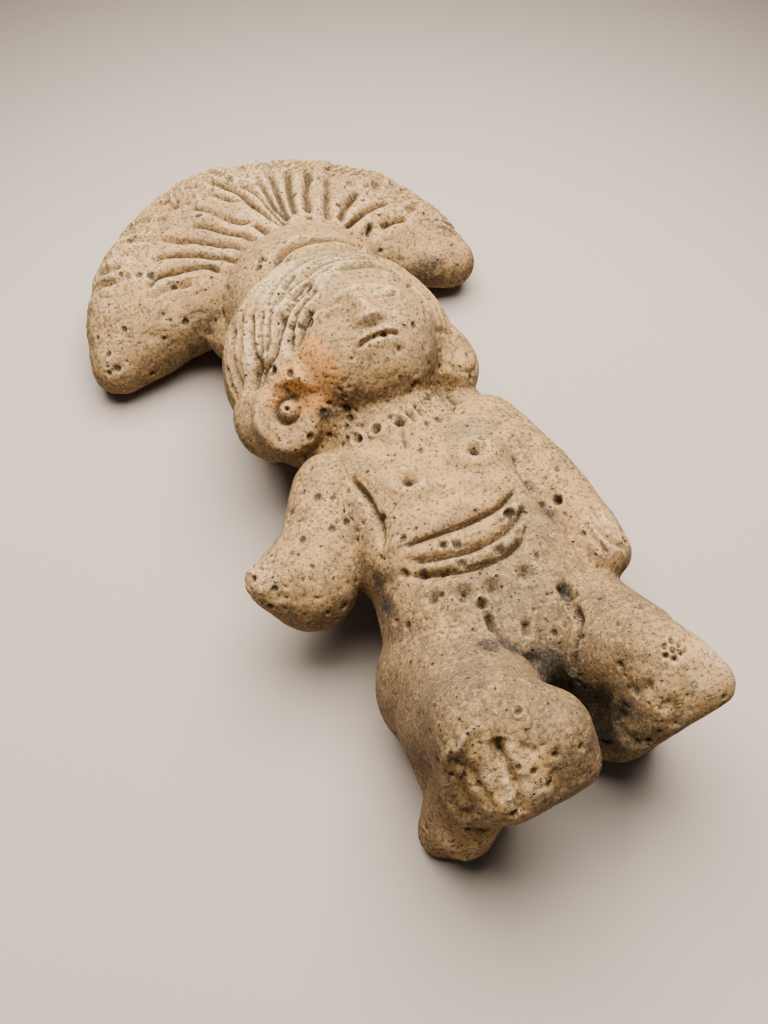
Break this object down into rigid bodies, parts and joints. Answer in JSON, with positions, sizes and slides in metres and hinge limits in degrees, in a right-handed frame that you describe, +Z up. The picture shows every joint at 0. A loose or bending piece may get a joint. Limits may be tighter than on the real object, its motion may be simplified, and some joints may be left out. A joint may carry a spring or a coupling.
{
  "type": "stone figurine",
  "caption": "Small squat human figurine in buff stone with a fan headdress, ear discs, a rolled belt and one broken arm, lying on its back.",
  "frame": {"origin": "on the ground below the middle of the figure's bounding box", "axes": "+X to the figure's left hand, +Y up its body to the headdress, +Z up, out of its front"},
  "size_m": [0.0742, 0.145, 0.0374],
  "materials": {
    "stone": "matt buff, porous, worn, with dark stains in the hollows"
  },
  "bodies": {
    "root": {"figurine": "stone"}
  },
  "joints": []
}
